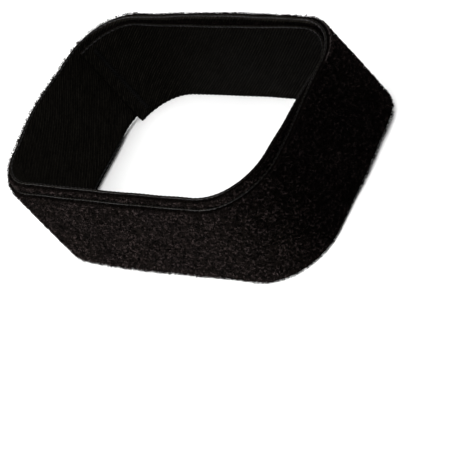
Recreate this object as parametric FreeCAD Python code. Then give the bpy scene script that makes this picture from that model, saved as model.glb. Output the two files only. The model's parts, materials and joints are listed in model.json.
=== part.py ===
"""Short flash snoot: a hook-and-loop strap wound almost two turns round a speedlight head.

Millimetres.  +Z is the way the light leaves, +Y is the far long wall, +X the right short wall.
The origin is the centre of the rear rim's rectangle, on the surface that the rear rim stands on.
Seen from the front the strap runs clockwise: far wall, right wall, near wall, left wall, then the
same walls again outside the first turn, and it ends in a pull tab on the left wall.
"""
import FreeCAD, Part
import math
import os
from collections import namedtuple

from FreeCAD import Vector

os.makedirs("parts", exist_ok=True)

# ---- driving dimensions -------------------------------------------------------------------------
HEAD_WIDTH = 77.5            # the flash head that the strap is wound on, along X
HEAD_HEIGHT = 49.5           # the same head, along Y
STRAP_WIDTH = 28.4           # cut width of the strap, along Z
LINING = 0.45                # ribbed grip backing, on the inside of every turn
LOOP = 0.85                  # loop fabric with its pile, on the outside of every turn
AIR = 0.15                   # room between one turn and the next
THREAD = 0.3                 # thickness of the sewing thread
EDGE_STITCH = 0.35           # width of the overlock stitch along both edges of the loop fabric
SLIT = 0.2                   # room between the ends of two neighbouring flaps
RADIUS = {"far_right": 8.0, "far_left": 14.0, "near_left": 9.0, "near_right": 14.3}

# Height of the strap's rear edge on each wall: the turns are wound slightly askew.
REAR_FAR_1 = 0.0
REAR_NEAR_1 = 2.2
REAR_FAR_2 = 1.3
REAR_NEAR_2 = 0.0

START_WRAP = 70.0            # degrees of the far left corner that the inner end covers
START_TACK_AT = 12.0         # degrees from the inner end to the bar tack across it
SPLIT = 45.0                 # degrees round a corner where one flap ends and the next begins
PULL_LENGTH = 10.0           # free end of the strap, with no hooks under it
STITCH_INSET = 1.8           # from the hook patch's border to its box stitch
TACK_WIDTH = 1.2             # bar tack, along the strap
TACK_INSET = 2.0             # from the strap's edges to the ends of a bar tack
END_TACK_AT = 3.0            # from the strap's free end to its bar tack

# ---- worked out from them -----------------------------------------------------------------------
THICKNESS = LINING + LOOP
PITCH = THICKNESS + AIR
HALF_W = HEAD_WIDTH / 2
HALF_H = HEAD_HEIGHT / 2
UP = Vector(0, 0, 1)
SIGNS = {"far_right": (1, 1), "far_left": (-1, 1), "near_left": (-1, -1), "near_right": (1, -1)}

# The left wall leans out by one pitch between its corners, to pass over the inner end.
LEFT_RUN = HEAD_HEIGHT - RADIUS["near_left"] - RADIUS["far_left"]
RADIUS_STEP = RADIUS["far_left"] - RADIUS["near_left"]
LEAN = math.degrees(
    math.atan2(LEFT_RUN, RADIUS_STEP)
    - math.acos((RADIUS_STEP + PITCH) / math.hypot(RADIUS_STEP, LEFT_RUN))
)

# The leaning tab makes the left side reach further, so the head's middle is right of the origin.
HEAD_MIDDLE = LEFT_RUN * math.sin(math.radians(LEAN)) / 2
CENTRE = {
    corner: Vector(
        HEAD_MIDDLE + sx * (HALF_W - RADIUS[corner]), sy * (HALF_H - RADIUS[corner]), 0
    )
    for corner, (sx, sy) in SIGNS.items()
}

# ---- the strap's route --------------------------------------------------------------------------
# A bend turns clockwise from angle a0 down to a1 about a corner's centre; a run is straight.
# Both follow the inside face of the strap, and their rear edges go from height z0 to z1.
Bend = namedtuple("Bend", "centre radius a0 a1 z0 z1")
Run = namedtuple("Run", "start end z0 z1")


def polar(centre, radius, degrees):
    """Point at a radius and angle about a centre."""
    angle = math.radians(degrees)
    return centre + Vector(radius * math.cos(angle), radius * math.sin(angle), 0)


def bend(corner, turn, a0, a1, z):
    """Part of a corner of turn 1 or 2, at one height."""
    return Bend(CENTRE[corner], RADIUS[corner] + (turn - 1) * PITCH, a0, a1, z, z)


def run(first, second, z0, z1):
    """Straight wall from the end of one bend to the start of the next."""
    start = polar(first.centre, first.radius, first.a1)
    end = polar(second.centre, second.radius, second.a0)
    return Run(start, end, z0, z1)


def route(bends, heights):
    """Bends joined by straight walls; heights gives each wall's rear edge at its two ends."""
    steps = [bends[0]]
    for following, (z0, z1) in zip(bends[1:], heights):
        steps.append(run(steps[-1], following, z0, z1))
        steps.append(following)
    return steps


def part_of_run(whole, distance_0, distance_1):
    """The stretch of a straight wall between two distances from its start."""
    along = whole.end - whole.start
    length = along.Length
    rise = whole.z1 - whole.z0
    points = [whole.start + along * (d / length) for d in (distance_0, distance_1)]
    levels = [whole.z0 + rise * d / length for d in (distance_0, distance_1)]
    return Run(points[0], points[1], levels[0], levels[1])


def trimmed(steps, at_start, at_end):
    """The same route with half a slit taken off the asked ends."""
    result = list(steps)
    for wanted, index, sign in ((at_start, 0, 1), (at_end, -1, -1)):
        if not wanted:
            continue
        step = result[index]
        if isinstance(step, Bend):
            angle = math.degrees(SLIT / 2 / step.radius)
            if sign > 0:
                result[index] = step._replace(a0=step.a0 - angle)
            else:
                result[index] = step._replace(a1=step.a1 + angle)
        else:
            length = (step.end - step.start).Length
            if sign > 0:
                result[index] = part_of_run(step, SLIT / 2, length)
            else:
                result[index] = part_of_run(step, 0, length - SLIT / 2)
    return result


def bend_slab(step, inside, outside, low, high):
    """Curved slab between two radial offsets and two heights above the rear edge."""
    circles = [Part.Circle(step.centre, UP, step.radius + offset) for offset in (inside, outside)]
    first, last = math.radians(step.a1), math.radians(step.a0)
    arcs = [Part.Arc(circle, first, last).toShape() for circle in circles]
    ends = [
        Part.LineSegment(
            polar(step.centre, step.radius + inside, angle),
            polar(step.centre, step.radius + outside, angle),
        ).toShape()
        for angle in (step.a0, step.a1)
    ]
    outline = Part.Wire(Part.__sortEdges__(arcs + ends))
    slab = Part.Face(outline).extrude(UP * (high - low))
    slab.translate(UP * (step.z0 + low))
    return slab


def run_slab(step, inside, outside, low, high):
    """Flat slab along a straight wall, its edges following the wall's slope."""
    along = step.end - step.start
    outward = Vector(-along.y, along.x, 0).normalize()
    corners = [
        step.start + UP * (step.z0 + low),
        step.end + UP * (step.z1 + low),
        step.end + UP * (step.z1 + high),
        step.start + UP * (step.z0 + high),
    ]
    outline = Part.makePolygon([point + outward * inside for point in corners + corners[:1]])
    return Part.Face(outline).extrude(outward * (outside - inside))


def slab(steps, inside, outside, low, high):
    """One solid along a whole route."""
    pieces = []
    for step in steps:
        make = bend_slab if isinstance(step, Bend) else run_slab
        pieces.append(make(step, inside, outside, low, high))
    if len(pieces) == 1:
        return pieces[0]
    return pieces[0].multiFuse(pieces[1:]).removeSplitter()


def save(name, shape):
    """Write one node as a single closed solid."""
    solids = shape.Solids
    assert shape.isValid() and len(solids) == 1, name
    solids[0].exportStep("parts/" + name + ".step")
    print(f"{name:32s} {solids[0].Volume:9.1f} mm3")


# ---- layers of the strap ------------------------------------------------------------------------
def save_lining(name, steps):
    """Ribbed grip backing over the strap's full width."""
    save(name + "_grip_lining", slab(steps, 0, LINING, 0, STRAP_WIDTH))


def save_loop_face(name, steps):
    """Loop fabric, set in from both edges by the overlock stitch."""
    shape = slab(steps, LINING, THICKNESS, EDGE_STITCH, STRAP_WIDTH - EDGE_STITCH)
    save(name + "_loop_face", shape)


def save_edge_stitches(name, steps):
    """Overlock stitching along the rear and the front edge of the loop fabric."""
    outside = LINING + THREAD
    save(name + "_rear_edge_stitching", slab(steps, LINING, outside, 0, EDGE_STITCH))
    front = STRAP_WIDTH - EDGE_STITCH
    save(name + "_front_edge_stitching", slab(steps, LINING, outside, front, STRAP_WIDTH))


def save_strap(name, steps):
    """All the layers of one stretch of strap."""
    save_lining(name, steps)
    save_loop_face(name, steps)
    save_edge_stitches(name, steps)


# ---- routes of the bodies -----------------------------------------------------------------------
def band_route():
    """The inner turn and the far wall of the outer turn."""
    bends = [
        bend("far_left", 1, 90 + START_WRAP, 90, REAR_FAR_1),
        bend("far_right", 1, 90, 0, REAR_FAR_1),
        bend("near_right", 1, 0, -90, REAR_NEAR_1),
        bend("near_left", 1, -90, -180 + LEAN, REAR_NEAR_1),
        bend("far_left", 2, 180 + LEAN, 90, REAR_FAR_2),
        bend("far_right", 2, 90, SPLIT, REAR_FAR_2),
    ]
    heights = [
        (REAR_FAR_1, REAR_FAR_1),
        (REAR_FAR_1, REAR_NEAR_1),
        (REAR_NEAR_1, REAR_NEAR_1),
        (REAR_NEAR_1, REAR_FAR_2),
        (REAR_FAR_2, REAR_FAR_2),
    ]
    return trimmed(route(bends, heights), False, True)


def side_flap_route():
    """The outer turn's right wall, between two half corners."""
    bends = [
        bend("far_right", 2, SPLIT, 0, REAR_FAR_2),
        bend("near_right", 2, 0, -SPLIT, REAR_NEAR_2),
    ]
    return trimmed(route(bends, [(REAR_FAR_2, REAR_NEAR_2)]), True, True)


def near_flap_route():
    """The outer turn's near wall, between two half corners."""
    bends = [
        bend("near_right", 2, -SPLIT, -90, REAR_NEAR_2),
        bend("near_left", 2, -90, -90 - SPLIT, REAR_NEAR_2),
    ]
    return trimmed(route(bends, [(REAR_NEAR_2, REAR_NEAR_2)]), True, True)


def tab_corner():
    """Half corner that the closing tab starts with."""
    return bend("near_left", 2, -90 - SPLIT, -180 + LEAN, REAR_NEAR_2)


def end_run():
    """Straight end of the strap on the left wall, hook patch and pull together."""
    corner = tab_corner()
    start = polar(corner.centre, corner.radius, corner.a1)
    heading = math.radians(90 + LEAN)
    end = start + Vector(math.cos(heading), math.sin(heading), 0) * LEFT_RUN
    return Run(start, end, REAR_NEAR_2, REAR_NEAR_2)


PATCH_LENGTH = LEFT_RUN - PULL_LENGTH


def patch_run():
    """The stretch with hooks under it."""
    return trimmed([part_of_run(end_run(), 0, PATCH_LENGTH)], False, True)[0]


def pull_run():
    """The free end that fingers lift."""
    return trimmed([part_of_run(end_run(), PATCH_LENGTH, LEFT_RUN)], True, False)[0]


# ---- joints -------------------------------------------------------------------------------------
def corner_hinge(corner, degrees):
    """Bend line of a corner: on the strap's outside face, where two flaps meet."""
    return polar(CENTRE[corner], RADIUS[corner] + PITCH + THICKNESS, degrees)


def pull_hinge():
    """Bend line of the finger pull, on the strap's outside face."""
    whole = end_run()
    along = (whole.end - whole.start).normalize()
    outward = Vector(-along.y, along.x, 0)
    return whole.start + along * PATCH_LENGTH + outward * THICKNESS


# ---- closing tab, pull and tacks ----------------------------------------------------------------
def save_closing_tab():
    """Tab that sticks to the inner turn: hook patch, box stitch and the strap's own layers."""
    steps = trimmed([tab_corner()], True, False)
    patch = patch_run()
    save_lining("closing_tab", steps)
    save_loop_face("closing_tab", steps + [patch])
    save_edge_stitches("closing_tab", steps + [patch])
    save("hook_patch", slab([patch], 0, LINING, 0, STRAP_WIDTH))
    length = (patch.end - patch.start).Length
    stitched = part_of_run(patch, STITCH_INSET, length - STITCH_INSET)
    inner = part_of_run(patch, STITCH_INSET + THREAD, length - STITCH_INSET - THREAD)
    low, high = STITCH_INSET, STRAP_WIDTH - STITCH_INSET
    frame = run_slab(stitched, THICKNESS, THICKNESS + THREAD, low, high)
    window = run_slab(inner, THICKNESS, THICKNESS + THREAD, low + THREAD, high - THREAD)
    save("hook_patch_box_stitch", frame.cut(window))


def save_finger_pull():
    """Free end of the strap with the bar tack that closes its hem."""
    pull = pull_run()
    save_strap("finger_pull", [pull])
    length = (pull.end - pull.start).Length
    at = length - END_TACK_AT
    tack = part_of_run(pull, at, at + TACK_WIDTH)
    shape = run_slab(tack, THICKNESS, THICKNESS + THREAD, TACK_INSET, STRAP_WIDTH - TACK_INSET)
    save("finger_pull_bar_tack", shape)


def save_start_tack():
    """Bar tack across the inner end, on the ribbed face."""
    first = 90 + START_WRAP - START_TACK_AT
    width = math.degrees(TACK_WIDTH / RADIUS["far_left"])
    tack = bend("far_left", 1, first, first - width, REAR_FAR_1)
    shape = bend_slab(tack, -THREAD, 0, TACK_INSET, STRAP_WIDTH - TACK_INSET)
    save("inner_end_bar_tack", shape)


def main():
    """Make every node."""
    save_strap("band", band_route())
    save_start_tack()
    save_strap("side_flap", side_flap_route())
    save_strap("near_flap", near_flap_route())
    save_closing_tab()
    save_finger_pull()


main()
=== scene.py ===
"""Looks of a short flash snoot: a black hook-and-loop strap wound almost twice round a flash head.

Metres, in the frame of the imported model: +Z is the way the light leaves, +Y the far long wall, +X the
right short wall.  The whole strap is one route, and a point on it has three coordinates: u, the length
along the strap from its inner end; z, the height above its rear edge; n, the distance outwards from its
inside face.  Every piece is made in those coordinates and then laid along the route.
"""
import json
import math

import bpy
import numpy as np
from mathutils import Matrix, Vector


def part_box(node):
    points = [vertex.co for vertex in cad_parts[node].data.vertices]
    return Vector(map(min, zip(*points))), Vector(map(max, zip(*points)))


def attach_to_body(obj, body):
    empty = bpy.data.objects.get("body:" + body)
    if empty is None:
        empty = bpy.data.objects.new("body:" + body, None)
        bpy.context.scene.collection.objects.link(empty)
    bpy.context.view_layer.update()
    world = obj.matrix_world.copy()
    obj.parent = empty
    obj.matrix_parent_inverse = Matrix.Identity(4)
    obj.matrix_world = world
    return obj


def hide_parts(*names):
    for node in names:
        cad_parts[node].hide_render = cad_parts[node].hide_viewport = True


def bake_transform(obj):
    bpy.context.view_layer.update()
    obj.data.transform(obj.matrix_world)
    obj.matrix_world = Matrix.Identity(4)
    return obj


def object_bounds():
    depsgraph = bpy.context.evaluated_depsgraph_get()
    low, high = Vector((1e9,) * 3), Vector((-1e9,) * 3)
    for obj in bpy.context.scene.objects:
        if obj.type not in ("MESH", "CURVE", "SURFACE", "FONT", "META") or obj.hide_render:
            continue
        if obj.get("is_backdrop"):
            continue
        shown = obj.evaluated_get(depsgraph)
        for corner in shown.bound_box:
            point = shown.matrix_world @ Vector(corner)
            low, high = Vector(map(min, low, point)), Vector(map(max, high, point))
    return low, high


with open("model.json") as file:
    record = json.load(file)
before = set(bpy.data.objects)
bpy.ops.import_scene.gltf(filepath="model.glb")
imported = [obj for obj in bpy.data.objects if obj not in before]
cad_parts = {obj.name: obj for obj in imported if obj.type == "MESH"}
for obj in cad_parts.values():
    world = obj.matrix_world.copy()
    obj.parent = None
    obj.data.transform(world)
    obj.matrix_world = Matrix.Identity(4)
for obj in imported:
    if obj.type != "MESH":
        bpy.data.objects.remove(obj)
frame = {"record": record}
CAD_BOX = [list(corner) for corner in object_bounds()]

MM = 0.001
rng = np.random.default_rng(7)

# ---- sizes --------------------------------------------------------------------------------------
MOUNTS = {mount["name"]: mount["pos_m"] for mount in frame["record"]["mounts"]}
MIDDLE = MOUNTS["flash_head_socket"][0]
HALF_W = MOUNTS["grip_face_right_wall"][0] - MIDDLE
HALF_H = MOUNTS["grip_face_far_wall"][1]
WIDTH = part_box("hook_patch")[1].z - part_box("hook_patch")[0].z

# Layers, as in the model: ribbed lining inside, loop fabric outside, air between the turns.
LINING = 0.45 * MM
LOOP = 0.85 * MM
THICKNESS = LINING + LOOP
PITCH = MOUNTS["loop_face_far_wall"][1] - HALF_H - THICKNESS
EDGE_STITCH = 0.35 * MM

# Inside radius of each corner at the rear and at the front edge: soft cloth takes two shapes.
REAR_RADIUS = {
    "far_right": 6.0 * MM,
    "far_left": 14.2 * MM,
    "near_left": 8.0 * MM,
    "near_right": 13.4 * MM,
}
FRONT_RADIUS = {
    "far_right": 9.8 * MM,
    "far_left": 14.0 * MM,
    "near_left": 9.6 * MM,
    "near_right": 14.2 * MM,
}
SIGNS = {"far_right": (1, 1), "far_left": (-1, 1), "near_left": (-1, -1), "near_right": (1, -1)}

# Height of the rear edge where it isn't 0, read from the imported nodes: the inner turn's on the near
# wall and the outer turn's on the far wall.
NEAR_1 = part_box("band_grip_lining")[1].z - WIDTH
FAR_2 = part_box("side_flap_grip_lining")[1].z - WIDTH

START_WRAP = 70.0        # degrees of the far left corner that the inner end covers
PULL_LENGTH = 10 * MM    # free end of the strap, with no hooks under it


# ---- the strap's route --------------------------------------------------------------------------
def corner_radius(corner, share):
    """Inside radius of a corner, at a share of the strap's width from its rear edge."""
    return REAR_RADIUS[corner] + (FRONT_RADIUS[corner] - REAR_RADIUS[corner]) * share


def corner_centre(corner, share):
    """Middle of a corner's arc in plan, as an array of x and one of y."""
    sx, sy = SIGNS[corner]
    radius = corner_radius(corner, share)
    return MIDDLE + sx * (HALF_W - radius), sy * (HALF_H - radius)


def lean(share):
    """Degrees that the left wall leans out, so that the strap passes over its inner end."""
    near, far = corner_radius("near_left", share), corner_radius("far_left", share)
    rise, step = 2 * HALF_H - near - far, far - near
    return np.degrees(np.arctan2(rise, step) - np.arccos((step + PITCH) / np.hypot(rise, step)))


# corner, turn, angle where the strap meets it, angle where it leaves, height of the rear edge
BENDS = [
    ("far_left", 1, lambda share: 90 + START_WRAP, lambda share: 90.0, 0.0),
    ("far_right", 1, lambda share: 90.0, lambda share: 0.0, 0.0),
    ("near_right", 1, lambda share: 0.0, lambda share: -90.0, NEAR_1),
    ("near_left", 1, lambda share: -90.0, lambda share: -180 + lean(share), NEAR_1),
    ("far_left", 2, lambda share: 180 + lean(share), lambda share: 90.0, FAR_2),
    ("far_right", 2, lambda share: 90.0, lambda share: 0.0, FAR_2),
    ("near_right", 2, lambda share: 0.0, lambda share: -90.0, 0.0),
    ("near_left", 2, lambda share: -90.0, lambda share: -180 + lean(share), 0.0),
]


def on_bend(bend, part, share):
    """Inside face of the strap on a bend: x, y and the outward direction, at a part of its turn."""
    corner, turn, enter, leave, _ = bend
    cx, cy = corner_centre(corner, share)
    radius = corner_radius(corner, share) + (turn - 1) * PITCH
    angle = np.radians(enter(share) + (leave(share) - enter(share)) * part)
    return cx + radius * np.cos(angle), cy + radius * np.sin(angle), np.cos(angle), np.sin(angle)


def bend_length(bend):
    """Developed length of a bend, half way up the strap."""
    corner, turn, enter, leave, _ = bend
    radius = corner_radius(corner, 0.5) + (turn - 1) * PITCH
    return radius * math.radians(float(enter(0.5) - leave(0.5)))


def on_wall(before, after, part, share):
    """Inside face of the strap on the straight wall between two bends, or on its free end."""
    x0, y0, nx, ny = on_bend(before, 1.0, share)
    if after is None:
        length = 2 * HALF_H - corner_radius("near_left", share) - corner_radius("far_left", share)
        x1, y1 = x0 + ny * length, y0 - nx * length
    else:
        x1, y1, _, _ = on_bend(after, 0.0, share)
    return x0 + (x1 - x0) * part, y0 + (y1 - y0) * part, nx, ny


def wall_length(before, after):
    """Developed length of a straight wall, half way up the strap."""
    x0, y0, _, _ = on_wall(before, after, 0.0, 0.5)
    x1, y1, _, _ = on_wall(before, after, 1.0, 0.5)
    return math.hypot(x1 - x0, y1 - y0)


def make_route():
    """Stretches as (start, end, function of part and share, rear edge at start, and at end)."""
    stretches, u = [], 0.0
    for bend, following in zip(BENDS, BENDS[1:] + [None]):
        length = bend_length(bend)
        stretches.append((u, u + length, lambda p, s, b=bend: on_bend(b, p, s), bend[4], bend[4]))
        u += length
        length = wall_length(bend, following)
        level = bend[4] if following is None else following[4]
        place = lambda p, s, b=bend, f=following: on_wall(b, f, p, s)
        stretches.append((u, u + length, place, bend[4], level))
        u += length
    return stretches


ROUTE = make_route()
LENGTH = ROUTE[-1][1]
STARTS = np.array([stretch[0] for stretch in ROUTE])

# The last nine stretches by name: the inner turn's left wall, and then the whole outer turn.
LEFT_1, BEND_FL_2, FAR_WALL_2, BEND_FR_2, RIGHT_2, BEND_NR_2, NEAR_WALL_2, BEND_NL_2, TAB = ROUTE[7:]


def smooth_levels():
    """Height of the rear edge along the strap, with its kinks eased as cloth eases them."""
    step, ease = 0.5 * MM, 3.0 * MM
    at = np.arange(0, LENGTH + step, step)
    marks = [stretch[0] for stretch in ROUTE] + [LENGTH]
    levels = np.interp(at, marks, [stretch[3] for stretch in ROUTE] + [ROUTE[-1][4]])
    reach = int(3 * ease / step)    # a bell curve is as good as nothing at three eases
    window = np.exp(-0.5 * (np.arange(-reach, reach + 1) * step / ease) ** 2)
    padded = np.pad(levels, reach, mode="edge")
    return at, np.convolve(padded, window / window.sum(), mode="valid")


LEVEL_AT, LEVEL = smooth_levels()


def ripple(x, y, z):
    """Small slow waves that no cloth is without; one field for all the layers keeps them together.

    The large factors are radians per metre, and the small terms after them set where a wave starts.
    """
    wave = 0.10 * MM
    push_x = wave * np.sin(190 * y + 60 * z + 0.6) + 0.5 * wave * np.sin(410 * y - 150 * z)
    push_y = wave * np.sin(150 * x + 90 * z + 2.1) + 0.5 * wave * np.sin(370 * x + 130 * z + 1.0)
    push_z = 0.7 * wave * (np.sin(230 * x + 1.7) + np.sin(310 * y + 0.4)) * np.clip(z / WIDTH, 0, 1)
    return x + push_x, y + push_y, z + push_z


BELLY_POWER = 1.4    # above 1, so that a belly starts and ends level with its corners

# How far the strap bellies out: at its rear edge and at its front edge, then the skew of the belly
# towards the end of the stretch, and the length that it takes.
BELLIES = {
    LEFT_1: (0.1 * MM, 1.9 * MM, 1.0, LEFT_1[1] - LEFT_1[0]),
    BEND_FL_2: (0.0, 0.5 * MM, 1.0, BEND_FL_2[1] - BEND_FL_2[0]),
    FAR_WALL_2: (0.1 * MM, 0.9 * MM, 1.0, FAR_WALL_2[1] - FAR_WALL_2[0]),
    RIGHT_2: (0.15 * MM, 0.0, 1.0, RIGHT_2[1] - RIGHT_2[0]),
    NEAR_WALL_2: (0.65 * MM, 0.0, 1.7, NEAR_WALL_2[1] - NEAR_WALL_2[0]),
    TAB: (0.1 * MM, 1.9 * MM, 1.0, LEFT_1[1] - LEFT_1[0]),
}


def belly(stretch, along, share):
    """Push outward at a distance along a stretch of the strap, none at its corners."""
    if stretch not in BELLIES:
        return 0.0
    rear, front, skew, length = BELLIES[stretch]
    part = np.clip(along / length, 0, 1)
    return (rear + (front - rear) * share) * np.sin(np.pi * part**skew) ** BELLY_POWER


def lay(u, z, n):
    """Points in the row frame of strap coordinates u, z and n, arrays of one shape."""
    u, z, n = np.broadcast_arrays(np.asarray(u, float), z, n)
    shape = u.shape
    u, z, n = u.ravel(), z.ravel(), n.ravel()
    share = np.clip(z / WIDTH, 0, 1)
    x, y = np.empty_like(u), np.empty_like(u)
    which = np.clip(np.searchsorted(STARTS, u, side="right") - 1, 0, len(ROUTE) - 1)
    for i, stretch in enumerate(ROUTE):
        here = which == i
        if here.any():
            start, end, place, _, _ = stretch
            along = u[here] - start
            px, py, nx, ny = place(along / (end - start), share[here])
            out = n[here] + belly(stretch, along, share[here])
            x[here], y[here] = px + nx * out, py + ny * out
    level = np.interp(u, LEVEL_AT, LEVEL)
    points = np.stack(ripple(x, y, z + level), axis=-1)
    return points.reshape(shape + (3,))


# ---- noise --------------------------------------------------------------------------------------
CELLS = 256
LATTICE = rng.random((CELLS, CELLS))


def noise(u, z, size, shift=0.0):
    """Smooth value noise from 0 to 1 over the strap, with features of about that size."""
    a, b = np.asarray(u) / size + shift, np.asarray(z) / size + 2.7 * shift
    ia, ib = np.floor(a).astype(int), np.floor(b).astype(int)
    fa, fb = a - ia, b - ib
    fa, fb = fa * fa * (3 - 2 * fa), fb * fb * (3 - 2 * fb)
    corner = lambda i, j: LATTICE[(ia + i) % CELLS, (ib + j) % CELLS]
    low = corner(0, 0) * (1 - fa) + corner(1, 0) * fa
    high = corner(0, 1) * (1 - fa) + corner(1, 1) * fa
    return low * (1 - fb) + high * fb


# ---- mesh helpers -------------------------------------------------------------------------------
def signed_volume(points, faces):
    """Volume inside quads or triangles; negative if they face inwards."""
    total = 0.0
    for k in range(1, faces.shape[1] - 1):
        a, b, c = points[faces[:, 0]], points[faces[:, k]], points[faces[:, k + 1]]
        total += float((a * np.cross(b, c)).sum()) / 6
    return total


def make_piece(name, points, face_groups, material, coords=None, tint=None, smooth=True):
    """Mesh object from points and arrays of quads or triangles, all facing outwards."""
    points = np.asarray(points, float).reshape(-1, 3)
    if sum(signed_volume(points, faces) for faces in face_groups) < 0:
        face_groups = [faces[:, ::-1] for faces in face_groups]
    mesh = bpy.data.meshes.new(name)
    mesh.vertices.add(len(points))
    mesh.vertices.foreach_set("co", points.astype(np.float32).ravel())
    corners = np.concatenate([faces.ravel() for faces in face_groups])
    sizes = np.concatenate([np.full(len(faces), faces.shape[1]) for faces in face_groups])
    mesh.loops.add(len(corners))
    mesh.loops.foreach_set("vertex_index", corners.astype(np.int32))
    mesh.polygons.add(len(sizes))
    mesh.polygons.foreach_set("loop_start", (np.cumsum(sizes) - sizes).astype(np.int32))
    mesh.polygons.foreach_set("use_smooth", np.full(len(sizes), smooth))
    mesh.update(calc_edges=True)
    if coords is not None:
        layer = mesh.attributes.new("strap", "FLOAT_VECTOR", "POINT")
        layer.data.foreach_set("vector", np.asarray(coords, np.float32).ravel())
    if tint is not None:
        layer = mesh.attributes.new("tint", "FLOAT", "POINT")
        layer.data.foreach_set("value", np.asarray(tint, np.float32).ravel())
    mesh.materials.append(material)
    piece = bpy.data.objects.new(name, mesh)
    bpy.context.scene.collection.objects.link(piece)
    return piece


def tube_faces(stations, sides, first=0):
    """Quads of a closed section swept along stations, and a fan over each end."""
    i, j = np.meshgrid(np.arange(stations - 1), np.arange(sides), indexing="ij")
    k = (j + 1) % sides
    corners = [i * sides + j, i * sides + k, (i + 1) * sides + k, (i + 1) * sides + j]
    quads = np.stack(corners, axis=-1).reshape(-1, 4) + first
    fan = np.arange(1, sides - 1)
    start = np.stack([np.zeros_like(fan), fan + 1, fan], axis=-1) + first
    last = (stations - 1) * sides
    end = np.stack([np.zeros_like(fan), fan, fan + 1], axis=-1) + last + first
    return quads, np.concatenate([start, end])


TINY = 1e-12    # keeps a length of nothing from being divided by


def tubes(paths, radii, sides):
    """Many round tubes at once: paths (count, points, 3) and radii of the same count and points."""
    count, length, _ = paths.shape
    ahead = np.gradient(paths, axis=1)
    ahead /= np.linalg.norm(ahead, axis=2, keepdims=True) + TINY
    helper = np.where(np.abs(ahead[..., 2:3]) > 0.9, [1.0, 0.0, 0.0], [0.0, 0.0, 1.0])
    across = np.cross(ahead, helper)
    across /= np.linalg.norm(across, axis=2, keepdims=True) + TINY
    over = np.cross(ahead, across)
    turn = np.linspace(0, 2 * np.pi, sides, endpoint=False)
    ring = across[:, :, None] * np.cos(turn)[:, None] + over[:, :, None] * np.sin(turn)[:, None]
    points = paths[:, :, None] + ring * radii[:, :, None, None]
    quads, caps = tube_faces(length, sides)
    offset = (np.arange(count) * length * sides)[:, None, None]
    quads = (quads[None] + offset).reshape(-1, 4)
    caps = (caps[None] + offset).reshape(-1, 3)
    return points.reshape(-1, 3), [quads, caps]


# ---- materials ----------------------------------------------------------------------------------
SHEEN_TINT = (1.0, 0.82, 0.78, 1.0)
SHINY, DULL = 0.34, 0.62    # roughness of the lining where it is most and least polished
CLOUD_SIZE = 9 * MM         # patches where the pile lies one way


def start_material(name, roughness, sheen=0.0, sheen_roughness=0.5, specular=0.5):
    """Empty procedural material: its tree, its shader and the strap coordinates of the surface."""
    material = bpy.data.materials.new(name)
    material.use_nodes = True
    tree = material.node_tree
    shader = tree.nodes["Principled BSDF"]
    shader.inputs["Roughness"].default_value = roughness
    shader.inputs["Sheen Weight"].default_value = sheen
    shader.inputs["Sheen Roughness"].default_value = sheen_roughness
    shader.inputs["Sheen Tint"].default_value = SHEEN_TINT
    shader.inputs["Specular IOR Level"].default_value = specular
    place = tree.nodes.new("ShaderNodeAttribute")
    place.attribute_name = "strap"
    return material, tree, shader, place.outputs["Vector"]


def add_noise(tree, place, size, detail=3.0, stretch=(1, 1, 1)):
    """Noise with features of about that size in metres, stretched along the strap's axes."""
    mapping = tree.nodes.new("ShaderNodeMapping")
    mapping.inputs["Scale"].default_value = [part / size for part in stretch]
    tree.links.new(place, mapping.inputs["Vector"])
    texture = tree.nodes.new("ShaderNodeTexNoise")
    texture.inputs["Scale"].default_value = 1.0
    texture.inputs["Detail"].default_value = detail
    tree.links.new(mapping.outputs["Vector"], texture.inputs["Vector"])
    return texture.outputs["Fac"]


def add_ramp(tree, factor, stops):
    """Colour ramp from a list of (position, colour)."""
    ramp = tree.nodes.new("ShaderNodeValToRGB")
    elements = ramp.color_ramp.elements
    while len(elements) < len(stops):
        elements.new(0.5)
    for element, (position, colour) in zip(elements, stops):
        element.position = position
        element.color = (*colour, 1.0)
    tree.links.new(factor, ramp.inputs["Fac"])
    return ramp.outputs["Color"]


def add_mix(tree, factor, first, second, blend="MIX"):
    """Mix of two colour sockets by a factor, a socket or a number."""
    mix = tree.nodes.new("ShaderNodeMix")
    mix.data_type = "RGBA"
    mix.blend_type = blend
    if isinstance(factor, float):
        mix.inputs[0].default_value = factor
    else:
        tree.links.new(factor, mix.inputs[0])
    tree.links.new(first, mix.inputs[6])
    tree.links.new(second, mix.inputs[7])
    return mix.outputs[2]


def add_bump(tree, shader, height, distance, strength=1.0):
    """Fine relief from a height socket."""
    bump = tree.nodes.new("ShaderNodeBump")
    bump.inputs["Distance"].default_value = distance
    bump.inputs["Strength"].default_value = strength
    tree.links.new(height, bump.inputs["Height"])
    tree.links.new(bump.outputs["Normal"], shader.inputs["Normal"])


def pile_ground_material():
    """Knitted ground of the loop fabric: nearly black, with brown and grey flecks."""
    material, tree, shader, place = start_material(
        "pile_ground", roughness=0.95, sheen=0.004, sheen_roughness=0.4, specular=0.003
    )
    flecks = add_ramp(tree, add_noise(tree, place, 0.5 * MM, 4.0), PILE_GROUND_STOPS)
    clouds = add_ramp(tree, add_noise(tree, place, CLOUD_SIZE, 2.0), CLOUD_STOPS)
    tree.links.new(add_mix(tree, 1.0, flecks, clouds, "MULTIPLY"), shader.inputs["Base Color"])
    add_bump(tree, shader, add_noise(tree, place, 0.22 * MM, 3.0), 0.08 * MM)
    return material


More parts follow.
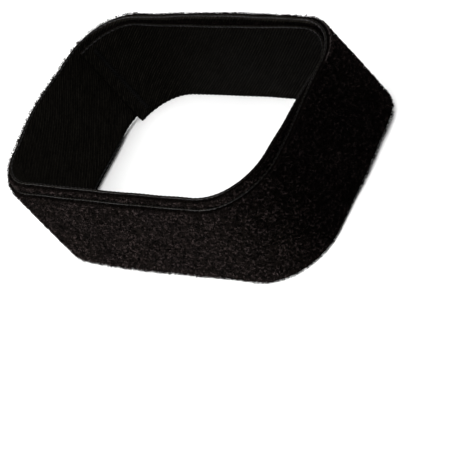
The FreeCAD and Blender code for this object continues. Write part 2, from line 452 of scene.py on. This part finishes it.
def pile_yarn_material():
    """Brushed loops: each yarn has its own shade, darker between clumps as partly painted shade, and
    palest on the far side's edge tufts as a painted backlight.
    """
    material, tree, shader, place = start_material(
        "pile_yarn", roughness=0.9, sheen=0.006, sheen_roughness=0.35, specular=0.004
    )
    shade = tree.nodes.new("ShaderNodeAttribute")
    shade.attribute_name = "tint"
    yarn = add_ramp(tree, shade.outputs["Fac"], YARN_AND_BACKLIGHT_STOPS)
    clouds = add_ramp(tree, add_noise(tree, place, CLOUD_SIZE, 2.0), CLOUD_STOPS)
    tree.links.new(add_mix(tree, 1.0, yarn, clouds, "MULTIPLY"), shader.inputs["Base Color"])
    return material


def lining_material():
    """Ribbed grip backing: black rubberised yarn with a dull shine on its ribs, and painted shade in
    the grooves between them.
    """
    material, tree, shader, place = start_material("grip_lining", roughness=0.6, specular=0.002)
    colour = add_ramp(tree, add_noise(tree, place, 0.7 * MM, 3.0), LINING_STOPS)
    crest = tree.nodes.new("ShaderNodeAttribute")
    crest.attribute_name = "tint"
    # Painted shade: the ramp darkens the lining where the crest tint is low, in the grooves between
    # ribs.
    painted_groove_shade = add_ramp(tree, crest.outputs["Fac"], GROOVE_SHADE_STOPS)
    tree.links.new(add_mix(tree, 1.0, colour, painted_groove_shade, "MULTIPLY"), shader.inputs["Base Color"])
    polish = tree.nodes.new("ShaderNodeMapRange")
    polish.inputs["To Min"].default_value = SHINY
    polish.inputs["To Max"].default_value = DULL
    tree.links.new(add_noise(tree, place, 3 * MM, 2.0), polish.inputs["Value"])
    tree.links.new(polish.outputs["Result"], shader.inputs["Roughness"])
    add_bump(tree, shader, add_noise(tree, place, 0.16 * MM, 2.0, (1, 3, 1)), 0.03 * MM)
    return material


def thread_material(name, stops):
    """Twisted polyester sewing thread with a slight lustre; where a tint is given, its colour is
    painted darker at the needle holes and lighter on each stitch's crest.
    """
    material, tree, shader, place = start_material(
        name, roughness=0.5, sheen=0.02, sheen_roughness=0.3, specular=0.06
    )
    colour = add_ramp(tree, add_noise(tree, place, 0.8 * MM, 2.0), stops)
    bead = tree.nodes.new("ShaderNodeAttribute")
    bead.attribute_name = "tint"
    # Painted light and shade: the tint darkens the thread where it dips into a needle hole and lightens
    # each stitch's crest.
    wear_and_painted_bead_light = add_ramp(tree, bead.outputs["Fac"], BEAD_LIGHT_STOPS)
    tree.links.new(add_mix(tree, 1.0, colour, wear_and_painted_bead_light, "MULTIPLY"), shader.inputs["Base Color"])
    twist = tree.nodes.new("ShaderNodeTexWave")
    twist.bands_direction = "DIAGONAL"
    twist.inputs["Scale"].default_value = 1 / (1.2 * MM)
    twist.inputs["Distortion"].default_value = 0.6
    tree.links.new(place, twist.inputs["Vector"])
    add_bump(tree, shader, twist.outputs["Fac"], 0.03 * MM)
    return material


def hook_material():
    """Moulded black hook tape."""
    material, tree, shader, place = start_material("hook_tape", roughness=0.38, specular=0.1)
    colour = add_ramp(tree, add_noise(tree, place, 2 * MM, 3.0), HOOK_STOPS)
    tree.links.new(colour, shader.inputs["Base Color"])
    add_bump(tree, shader, add_noise(tree, place, 0.3 * MM, 2.0), 0.02 * MM)
    return material


def floor_material():
    """Pale matt board."""
    material, tree, shader, _ = start_material("pale_floor", roughness=0.85, specular=0.2)
    place = tree.nodes.new("ShaderNodeTexCoord").outputs["Object"]
    colour = add_ramp(tree, add_noise(tree, place, 30 * MM, 4.0), FLOOR_STOPS)
    tree.links.new(colour, shader.inputs["Base Color"])
    return material


# Colour ramps: the place of each stop from 0 to 1, and its red, green and blue.
PILE_GROUND_STOPS = [(0.35, (0.00025, 0.00018, 0.00014)), (0.70, (0.0015, 0.0011, 0.0009))]
CLOUD_STOPS = [(0.30, (0.80, 0.80, 0.82)), (0.70, (1.0, 0.98, 0.96))]
# Up to 0.7 the yarns' own colour; the last stop is a painted backlight for the far side's edge tufts.
YARN_AND_BACKLIGHT_STOPS = [
    (0.0, (0.0004, 0.0003, 0.00024)),
    (0.35, (0.0028, 0.0021, 0.0019)),
    (0.7, (0.0185, 0.0138, 0.0134)),
    (1.0, (0.0420, 0.0370, 0.0365)),
]
LINING_STOPS = [(0.3, (0.0055, 0.0050, 0.0040)), (0.7, (0.0147, 0.0133, 0.0109))]
# Painted shade at the needle holes and painted highlight on the stitch crests.
BEAD_LIGHT_STOPS = [(0.25, (0.10, 0.10, 0.10)), (0.75, (1.0, 1.0, 1.0))]
# Painted shade in the lining's grooves: a low crest tint darkens the colour.
GROOVE_SHADE_STOPS = [(0.15, (0.12, 0.12, 0.12)), (0.85, (1.0, 1.0, 1.0))]
THREAD_STOPS = [(0.3, (0.0017, 0.0015, 0.0016)), (0.7, (0.0065, 0.0059, 0.0063))]
BOBBIN_STOPS = [(0.3, (0.0050, 0.0046, 0.0050)), (0.7, (0.0215, 0.0200, 0.0215))]
SEAM_STOPS = [(0.3, (0.0009, 0.0008, 0.0008)), (0.7, (0.0031, 0.0027, 0.0028))]
HOOK_STOPS = [(0.3, (0.0046, 0.0046, 0.0046)), (0.7, (0.0092, 0.0092, 0.0092))]
FLOOR_STOPS = [(0.3, (0.86, 0.86, 0.86)), (0.7, (0.89, 0.89, 0.885))]

PILE_GROUND = pile_ground_material()
PILE_YARN = pile_yarn_material()
GRIP_LINING = lining_material()
SEWING_THREAD = thread_material("sewing_thread", THREAD_STOPS)
BOBBIN_THREAD = thread_material("bobbin_thread", BOBBIN_STOPS)
SEAM_THREAD = thread_material("seam_thread", SEAM_STOPS)
HOOK_TAPE = hook_material()


# ---- how the strap is divided -------------------------------------------------------------------
def middle(stretch):
    """Half way along a stretch of the route."""
    return (stretch[0] + stretch[1]) / 2


PULL_U = LENGTH - PULL_LENGTH
MID_FAR, MID_RIGHT, MID_NEAR = middle(FAR_WALL_2), middle(RIGHT_2), middle(NEAR_WALL_2)
MID_PATCH = (TAB[0] + PULL_U) / 2
PULL_BEND = 4 * MM      # length over which the lifted pull bends
PAST_CORNER = 3 * MM    # how far past its corner a peeled flap goes on bending


def outer_half(bend):
    """Where a peeled flap bends: from the middle of its corner to a little past the corner."""
    return middle(bend), bend[1] + PAST_CORNER


# The strap is cut half way along its walls, so that every bend lies inside one span.  A span has the
# first words of its CAD nodes' names, the bodies that it belongs to, the zone along the strap where it
# bends from the first body to the second, and its two ends along the strap.
SPANS = [
    dict(name="band", bodies=("band",), zone=None, ends=(0.0, MID_FAR)),
    dict(
        name="side_flap",
        bodies=("band", "side_flap"),
        zone=outer_half(BEND_FR_2),
        ends=(MID_FAR, MID_RIGHT),
    ),
    dict(
        name="near_flap",
        bodies=("side_flap", "near_flap"),
        zone=outer_half(BEND_NR_2),
        ends=(MID_RIGHT, MID_NEAR),
    ),
    dict(
        name="closing_tab",
        bodies=("near_flap", "closing_tab"),
        zone=outer_half(BEND_NL_2),
        ends=(MID_NEAR, MID_PATCH),
    ),
    dict(
        name="finger_pull",
        bodies=("closing_tab", "finger_pull"),
        zone=(PULL_U, PULL_U + PULL_BEND),
        ends=(MID_PATCH, LENGTH),
    ),
]
BY_NAME = {span["name"]: span for span in SPANS}


def attach(piece, span, nodes=()):
    """Parents a piece to its stretch's first body if the stretch has no bend zone, else only bakes its
    transform; hides the nodes that it stands for.
    """
    if span["zone"] is None:
        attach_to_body(piece, span["bodies"][0])
    else:
        start, end = (Vector(lay(u, WIDTH / 2, THICKNESS)) for u in span["zone"])
        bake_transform(piece)
    if nodes:
        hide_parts(*nodes)
    return piece


# ---- loop fabric --------------------------------------------------------------------------------
def pile_ground(span):
    """Closed slab of loop fabric, its outside lumpy with the roots of the pile."""
    step, ease = 0.35 * MM, 0.40 * MM
    u0, u1 = span["ends"]
    u = np.linspace(u0, u1, int((u1 - u0) / step) + 1)[:, None]
    low, high = 0.5 * EDGE_STITCH, WIDTH - 0.5 * EDGE_STITCH
    face = np.linspace(low + ease, high - ease, int(WIDTH / step))
    back, shoulder = LINING + 0.03 * MM, THICKNESS - 0.12 * MM
    z = np.r_[face, high - 0.28 * MM, high, high, low, low, low + 0.28 * MM][None]
    depth = np.full(len(face), THICKNESS)
    n = np.r_[depth, shoulder, LINING + ease * 0.4, back, back, LINING + ease * 0.4, shoulder][None]
    lively = np.r_[np.ones(len(face)), 0.6, 0.3, 0, 0, 0.3, 0.6][None]
    fine, slow, settled = 0.30, 0.12, 0.05 * MM
    lumps = fine * (noise(u, z, 0.5 * MM) - 0.5) + slow * (noise(u, z, 1.7 * MM, 31.0) - 0.5)
    n = n + lively * lumps * MM - settled * lively
    u, z, n = np.broadcast_arrays(u, z, n)
    coords = np.stack([u, z, n], axis=-1)
    quads, caps = tube_faces(u.shape[0], u.shape[1])
    piece = make_piece(span["name"] + "_loop_fabric", lay(u, z, n), [quads, caps], PILE_GROUND, coords)
    attach(piece, span, [span["name"] + "_loop_face"])


PILE_DENSITY = 5.0    # yarns on each square millimetre
EDGE_DENSITY = 14     # yarn ends on each millimetre of both edges together
YARN_SIDES = 3

# Four points of a loop of yarn, as shares of its length and of its height.
LOOP_SHAPE_U = np.array([-0.5, -0.3, 0.28, 0.5])
LOOP_SHAPE_N = np.array([-0.25, 0.8, 1.0, -0.25])
LOOP_POINTS = len(LOOP_SHAPE_U)

# Share of the pile's height that is left where it is pressed or worn.
COVERED, RUBBED = 0.3, 0.5


def pressed(u, z):
    """Share of the pile's height that is left: least under the outer turn, half at rubbed edges."""
    covered = (u < LEFT_1[0]) & (z < WIDTH - 1.9 * MM)
    rubbed = (u > MID_RIGHT + 4 * MM) & (u < MID_NEAR - 12 * MM) & (z < 2.5 * MM)
    wear_and_painted_bead_light = (u > FAR_WALL_2[0]) & (u < FAR_WALL_2[1]) & (z > WIDTH - 1.5 * MM)
    return np.where(covered, COVERED, np.where(rubbed | wear_and_painted_bead_light, RUBBED, 1.0))


def pile_yarns(name, span, ends):
    """Brushed loops standing on the loop fabric, each a small arch at its own slant."""
    u0, u1 = ends
    count = int((u1 - u0) * WIDTH * PILE_DENSITY / MM**2)
    inset = 0.45 * MM
    u = rng.uniform(u0, u1, count)
    z = rng.uniform(inset, WIDTH - inset, count)
    turn = rng.uniform(0, np.pi, count)
    length = rng.uniform(0.35, 0.85, count) * MM
    height = (0.18 + 0.48 * rng.beta(2.0, 2.6, count)) * MM * pressed(u, z)
    tilt = rng.normal(0, 0.15, (2, count)) * MM
    along = LOOP_SHAPE_U * length[:, None]
    lift = np.clip(LOOP_SHAPE_N, 0, 1)
    path_u = u[:, None] + along * np.cos(turn)[:, None] + lift * tilt[0][:, None]
    path_z = z[:, None] + along * np.sin(turn)[:, None] + lift * tilt[1][:, None]
    path_n = THICKNESS - 0.04 * MM + LOOP_SHAPE_N * height[:, None]
    path_u = np.clip(path_u, u0, u1)
    # Yarns between clumps are painted darker: partly random tone, partly painted shade where fibres
    # shade one another.
    clump_size, darkest, contrast = 0.37 * MM, 0.39, 4.5
    clump = np.clip((noise(u, z, clump_size) - darkest) * contrast, 0, 1)
    shades = 0.7 * clump * rng.uniform(0.35, 1.0, count)
    thick = rng.uniform(0.045, 0.08, count)[:, None] * MM * np.ones(LOOP_POINTS)
    points, faces = tubes(lay(path_u, path_z, path_n), thick, YARN_SIDES)
    repeat = LOOP_POINTS * YARN_SIDES
    coords = np.repeat(np.stack([u, z, height], axis=-1), repeat, axis=0)
    piece = make_piece(name, points, faces, PILE_YARN, coords, np.repeat(shades, repeat))
    attach(piece, span)


def edge_tufts(span):
    """Ends of yarn that stand out past both edges of the loop fabric."""
    u0, u1 = span["ends"]
    count = int((u1 - u0) / MM * EDGE_DENSITY)
    front_share, inset = 0.6, 0.42 * MM
    u = rng.uniform(u0, u1, count)
    front = rng.random(count) < front_share
    out = np.where(front, 1.0, -1.0)
    root = np.where(front, WIDTH - inset, inset) + rng.normal(0, 0.08, count) * MM
    reach = (0.2 + 0.65 * rng.beta(1.8, 3.0, count)) * MM * pressed(u, root)
    slant = rng.uniform(0.1, 1.35, count)
    swing = rng.normal(0, 0.22, count) * MM
    part = np.array([-0.2, 0.4, 0.8, 1.0])
    along = np.clip(part, 0, 1)
    path_u = np.clip(u[:, None] + swing[:, None] * part**2, u0, u1)
    path_z = root[:, None] + (out * reach * np.sin(slant))[:, None] * along**1.3
    above_floor = 0.02 * MM
    path_z = np.maximum(path_z, above_floor)
    path_n = THICKNESS - 0.08 * MM + (reach * np.cos(slant))[:, None] * part
    thick = rng.uniform(0.04, 0.075, count)[:, None] * MM * np.array([1.0, 1.0, 0.8, 0.35])
    # Painted backlight: front tufts on the far side get the palest tints, up to the ramp's last stop,
    # as if lit from behind.
    painted_backlit_tufts = (u > LEFT_1[0]) & (u < RIGHT_2[0]) & front
    shades = np.where(painted_backlit_tufts, rng.uniform(0.75, 1.0, count), 0.7 * rng.beta(1.5, 3.0, count))
    points, faces = tubes(lay(path_u, path_z, path_n), thick, YARN_SIDES)
    repeat = len(part) * YARN_SIDES
    coords = np.repeat(np.stack([u, root, reach], axis=-1), repeat, axis=0)
    name = span["name"] + "_edge_tufts"
    piece = make_piece(name, points, faces, PILE_YARN, coords, np.repeat(shades, repeat))
    attach(piece, span)


# ---- ribbed lining ------------------------------------------------------------------------------
RIB_SLOPE = 1.15    # how far along the strap a rib runs for each step across it


def ribbed_sheet(name, ends, outside, material, rib_pitch=0.88 * MM, rib_depth=0.16 * MM):
    """Closed thin sheet whose inside face has ribs slanted across the strap."""
    u0, u1 = ends
    step, rows = rib_pitch / 5, 25
    z = np.linspace(0, WIDTH, rows)[:, None]
    slant = np.arange(u0 - RIB_SLOPE * WIDTH - step, u1 + step, step)[None]
    u = slant + RIB_SLOPE * z
    first = (u <= u0).sum(axis=1, keepdims=True) - 1
    last = (u < u1).sum(axis=1, keepdims=True)
    column = np.clip(np.arange(u.shape[1])[None], first, last)
    crest = 0.5 + 0.5 * np.cos(2 * np.pi * slant / rib_pitch)
    selvage = np.clip(np.minimum(z, WIDTH - z) / (0.5 * MM), 0, 1)
    inside = rib_depth * (1 - crest**0.8 * selvage) + 0 * u
    u = np.clip(u, u0, u1)
    z = z + 0 * u
    grid = np.stack([u, z, inside], axis=-1), np.stack([u, z, np.full_like(u, outside)], axis=-1)
    coords = np.concatenate([side.reshape(-1, 3) for side in grid])
    # The tint is the rib crest times random noise; the lining's material turns its low values into
    # painted shade in the grooves.
    tint = np.tile((crest * (0.35 + 0.65 * noise(u, z, 0.6 * MM)) + 0 * u).ravel(), 2)
    index = np.arange(rows)[:, None] * u.shape[1] + column
    a, b, c, d = index[:-1, :-1], index[:-1, 1:], index[1:, 1:], index[1:, :-1]
    face = np.concatenate([np.stack(t, axis=-1).reshape(-1, 3) for t in ((a, b, c), (a, c, d))])
    other = face[:, ::-1] + u.size
    rim = []
    for line in (index[0], index[-1][::-1], index[:, -1], index[::-1, 0]):
        p, q = line[:-1], line[1:]
        rim += [np.stack([q, p, p + u.size], axis=-1), np.stack([q, p + u.size, q + u.size], axis=-1)]
    faces = np.concatenate([face, other] + rim)
    real = (faces[:, 0] != faces[:, 1]) & (faces[:, 1] != faces[:, 2]) & (faces[:, 2] != faces[:, 0])
    faces = faces[real]
    used, faces = np.unique(faces, return_inverse=True)
    faces = faces.reshape(-1, 3)
    coords, tint = coords[used], tint[used]
    points = lay(coords[:, 0], coords[:, 1], coords[:, 2])
    return make_piece(name, points, [faces], material, coords, tint)


def grip_lining(span, ends):
    """Lining of one stretch, made as a ribbed sheet."""
    piece = ribbed_sheet(span["name"] + "_ribbed_lining", ends, LINING, GRIP_LINING)
    attach(piece, span, [span["name"] + "_grip_lining"])


# ---- threads ------------------------------------------------------------------------------------
EDGE_BEAD = 0.15 * MM      # radius of an edge thread where a stitch swells it
SEAM_RADIUS = 0.13 * MM    # radius of the thread in the box stitch and the bar tacks
THREAD_SIDES = 6


def edge_thread(span, edge, chain, z, n, material):
    """Chain of overlock stitches along one edge: a thread that swells at every stitch."""
    stitch, step = 1.35 * MM, 0.15 * MM
    u0, u1 = span["ends"]
    u = np.linspace(u0, u1, int((u1 - u0) / step) + 1)
    phase = np.abs(np.sin(np.pi * u / stitch))
    radius = EDGE_BEAD * (0.45 + 0.45 * phase**0.6 + 0.1 * noise(u, 0 * u, 2 * MM))
    swing, wander = 0.04 * MM, 0.12 * MM
    depth = n + swing * np.sin(2 * np.pi * u / stitch)
    height = z + swing * np.sin(2 * np.pi * u / stitch + 1.2)
    height = height + wander * (noise(u, 0 * u, 5 * MM) - 0.5)
    path = lay(u, height, depth)[None]
    points, faces = tubes(path, radius[None], THREAD_SIDES)
    coords = np.repeat(np.stack([u, height, depth], axis=-1), THREAD_SIDES, axis=0)
    # The tint is painted shade and highlight: near 0 at each needle hole, highest on each stitch's
    # crest, with a slow random change in brightness.
    shade = np.clip(phase**2 * (0.35 + 1.1 * noise(u, 0 * u + z, 3 * MM)), 0, 1)
    shade = np.repeat(shade, THREAD_SIDES)
    piece = make_piece(f"{span['name']}_{edge}_{chain}_thread", points, faces, material, coords, shade)
    attach(piece, span, [f"{span['name']}_{edge}_edge_stitching"])


# Points of one stitch: shares of the way from hole to hole, and heights in radii of the thread.
STITCH_PART = np.array([0.0, 0.12, 0.5, 0.88, 1.0])
STITCH_LIFT = np.array([-1.2, 0.5, 0.9, 0.5, -1.2])


def stitches(name, span, pairs, surface, node):
    """Separate stitches, each an arch of thread from one needle hole to the next."""
    starts, ends = (np.array(points) for points in zip(*pairs))
    flat = starts[:, None] + (ends - starts)[:, None] * STITCH_PART[:, None]
    outward = 1.0 if surface > 0 else -1.0
    n = np.broadcast_to(surface + outward * STITCH_LIFT * SEAM_RADIUS, flat.shape[:2])
    thick = np.full(flat.shape[:2], SEAM_RADIUS) * np.array([0.8, 1.0, 1.0, 1.0, 0.8])
    points, faces = tubes(lay(flat[..., 0], flat[..., 1], n), thick, THREAD_SIDES)
    coords = np.concatenate([flat, n[..., None]], axis=-1).reshape(-1, 3)
    coords = np.repeat(coords, THREAD_SIDES, axis=0)
    piece = make_piece(name, points, faces, SEAM_THREAD, coords)
    attach(piece, span, [node])


def line_of_stitches(start, end, length, gap):
    """Ends of the stitches that fill a straight seam."""
    start, end = np.array(start), np.array(end)
    count = max(1, round(float(np.linalg.norm(end - start)) / (length + gap)))
    cuts = np.linspace(0, 1, count + 1)
    share = length / (length + gap)
    return [
        (start + (end - start) * a, start + (end - start) * (a + (b - a) * share))
        for a, b in zip(cuts[:-1], cuts[1:])
    ]


def bar_tack(name, span, u, surface, node):
    """Dense zigzag of crossed stitches across the strap."""
    half, spacing, low, high = 0.6 * MM, 0.36 * MM, 2 * MM, WIDTH - 2 * MM
    count = int((high - low) / spacing)
    z = np.linspace(low, high, count)
    side = np.where(np.arange(count) % 2 == 0, 1.0, -1.0)
    ends = np.stack([u + half * side, z], axis=-1)
    stitches(name, span, list(zip(ends[:-1], ends[1:])), surface, node)


def seams():
    """Box stitch of the hook patch and the bar tacks at both ends of the strap."""
    inset, stitch, gap = 1.8 * MM, 1.9 * MM, 0.35 * MM
    left, right = TAB[0] + inset, PULL_U - inset
    low, high = inset, WIDTH - inset
    corners = [(left, low), (right, low), (right, high), (left, high), (left, low)]
    pairs = []
    for start, end in zip(corners[:-1], corners[1:]):
        pairs += line_of_stitches(start, end, stitch, gap)
    pull = BY_NAME["finger_pull"]
    stitches("hook_patch_box_seam", pull, pairs, THICKNESS, "hook_patch_box_stitch")
    from_free_end, from_inner_end = 2.4 * MM, 3.3 * MM
    bar_tack("finger_pull_tack", pull, LENGTH - from_free_end, THICKNESS, "finger_pull_bar_tack")
    bar_tack("inner_end_tack", BY_NAME["band"], from_inner_end, 0.0, "inner_end_bar_tack")


# ---- hook patch ---------------------------------------------------------------------------------
def hook_patch():
    """Tape with rows of small moulded hooks, facing the inner turn's pile."""
    span = BY_NAME["finger_pull"]
    ends = (TAB[0], PULL_U)
    base = ribbed_sheet(
        "hook_patch_tape", ends, LINING, HOOK_TAPE, rib_pitch=1.2 * MM, rib_depth=0.3 * MM
    )
    attach(base, span, ["hook_patch"])
    pitch_u, pitch_z = 0.85 * MM, 0.75 * MM
    u = np.arange(ends[0] + 0.9 * MM, ends[1] - 0.6 * MM, pitch_u)
    z = np.arange(0.9 * MM, WIDTH - 0.7 * MM, pitch_z)
    u, z = (a.ravel() for a in np.meshgrid(u, z))
    lean_way = np.where((np.round(z / pitch_z) % 2) == 0, 1.0, -1.0)
    along = np.array([0.0, 0.02, 0.10, 0.26, 0.36, 0.34]) * MM
    inward = np.array([0.30, 0.12, 0.0, -0.04, 0.03, 0.12]) * MM
    path_u = u[:, None] + lean_way[:, None] * along
    path_z = z[:, None] + 0 * along
    path_n = np.broadcast_to(inward, path_u.shape)
    thick = np.broadcast_to(np.array([0.13, 0.10, 0.09, 0.08, 0.07, 0.04]) * MM, path_u.shape)
    sides = 5
    points, faces = tubes(lay(path_u, path_z, path_n), thick, sides)
    coords = np.repeat(np.stack([path_u, path_z, path_n], axis=-1).reshape(-1, 3), sides, axis=0)
    attach(make_piece("hook_patch_hooks", points, faces, HOOK_TAPE, coords), span)


# ---- the strap ----------------------------------------------------------------------------------
# Edge threads: edge, chain, height above the rear edge, distance from the inside face, material.
EDGE_THREADS = [
    ("front", "needle", WIDTH - 0.16 * MM, 0.40 * MM, SEWING_THREAD),
    ("front", "bobbin", WIDTH - 0.20 * MM, 0.05 * MM, BOBBIN_THREAD),
    ("rear", "needle", 0.16 * MM, 0.40 * MM, SEWING_THREAD),
    ("rear", "bobbin", 0.20 * MM, 0.05 * MM, BOBBIN_THREAD),
]
BAND_PILES = 5    # the band's pile is split, because one mesh would have too many faces


def make_strap():
    """Every piece of the strap, layer by layer."""
    for span in SPANS:
        pile_ground(span)
    for span in SPANS:
        u0, u1 = span["ends"]
        parts = BAND_PILES if span["name"] == "band" else 1
        for i in range(parts):
            ends = (u0 + (u1 - u0) * i / parts, u0 + (u1 - u0) * (i + 1) / parts)
            pile_yarns(f"{span['name']}_pile_{i + 1}", span, ends)
        edge_tufts(span)
    lining_ends = {
        "band": (0.0, MID_FAR),
        "side_flap": (MID_FAR, MID_RIGHT),
        "near_flap": (MID_RIGHT, MID_NEAR),
        "closing_tab": (MID_NEAR, TAB[0]),
        "finger_pull": (PULL_U, LENGTH),
    }
    for name, ends in lining_ends.items():
        grip_lining(BY_NAME[name], ends)
    for span in SPANS:
        for edge, chain, z, n, material in EDGE_THREADS:
            edge_thread(span, edge, chain, z, n, material)
    seams()
    hook_patch()


make_strap()


# ---- floor, light and camera --------------------------------------------------------------------
def make_floor():
    """Pale board that the strap stands on, staged and not part of the object."""
    half = 1.5
    mesh = bpy.data.meshes.new("floor")
    corners = [(-half, -half, 0), (half, -half, 0), (half, half, 0), (-half, half, 0)]
    mesh.from_pydata(corners, [], [(0, 1, 2, 3)])
    mesh.materials.append(floor_material())
    floor = bpy.data.objects.new("floor", mesh)
    bpy.context.scene.collection.objects.link(floor)
    floor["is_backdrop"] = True


def soft_light(name, azimuth, elevation, distance, size, power):
    """Soft box that faces the object; degrees, with azimuth 0 on the near side and 90 on the right."""
    a, e = math.radians(azimuth), math.radians(elevation)
    back = Vector((math.sin(a) * math.cos(e), -math.cos(a) * math.cos(e), math.sin(e)))
    lamp = bpy.data.lights.new(name, "AREA")
    lamp.shape = "RECTANGLE"
    lamp.size, lamp.size_y = size
    lamp.energy = power
    light = bpy.data.objects.new(name, lamp)
    light.location = back * distance
    light.rotation_euler = back.to_track_quat("Z", "Y").to_euler()
    bpy.context.scene.collection.objects.link(light)


def make_light():
    """Overhead light for the board, a low light on the near wall and a weak one from the far side."""
    soft_light("overhead", azimuth=28, elevation=74, distance=1.2, size=(1.2, 1.2), power=24.0)
    soft_light("near_side", azimuth=-18, elevation=2.6, distance=1.0, size=(0.7, 0.08), power=92.0)
    soft_light("far_right", azimuth=165, elevation=35, distance=1.0, size=(0.6, 0.6), power=7.0)
    world = bpy.data.worlds.new("studio")
    world.use_nodes = True
    background = world.node_tree.nodes["Background"]
    background.inputs["Color"].default_value = (1.0, 1.0, 1.0, 1.0)
    background.inputs["Strength"].default_value = 0.20
    bpy.context.scene.world = world
    bpy.context.scene.view_settings.view_transform = "Standard"


CAMERA_AT = Vector((337.68, -199.74, 320.68)) * MM
CAMERA_TARGET = Vector((22.04, -21.20, 14.20)) * MM
CAMERA_ROLL = math.radians(-42.85)
LENS = 166.27           # focal length, in the camera's own millimetres
SENSOR_WIDTH = 36.0


def make_camera():
    """Long lens, from the right and above, rolled to the slant that the photograph shows."""
    data = bpy.data.cameras.new("camera")
    data.lens = LENS
    data.sensor_width = SENSOR_WIDTH
    data.clip_start = 0.01
    camera = bpy.data.objects.new("camera", data)
    level = (CAMERA_AT - CAMERA_TARGET).to_track_quat("Z", "Y").to_matrix()
    turned = level @ Matrix.Rotation(CAMERA_ROLL, 3, "Z")
    camera.matrix_world = Matrix.Translation(CAMERA_AT) @ turned.to_4x4()
    bpy.context.scene.collection.objects.link(camera)
    bpy.context.scene.camera = camera


make_floor()
make_light()
make_camera()

{"cad": CAD_BOX, "visual": [list(corner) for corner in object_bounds()]}
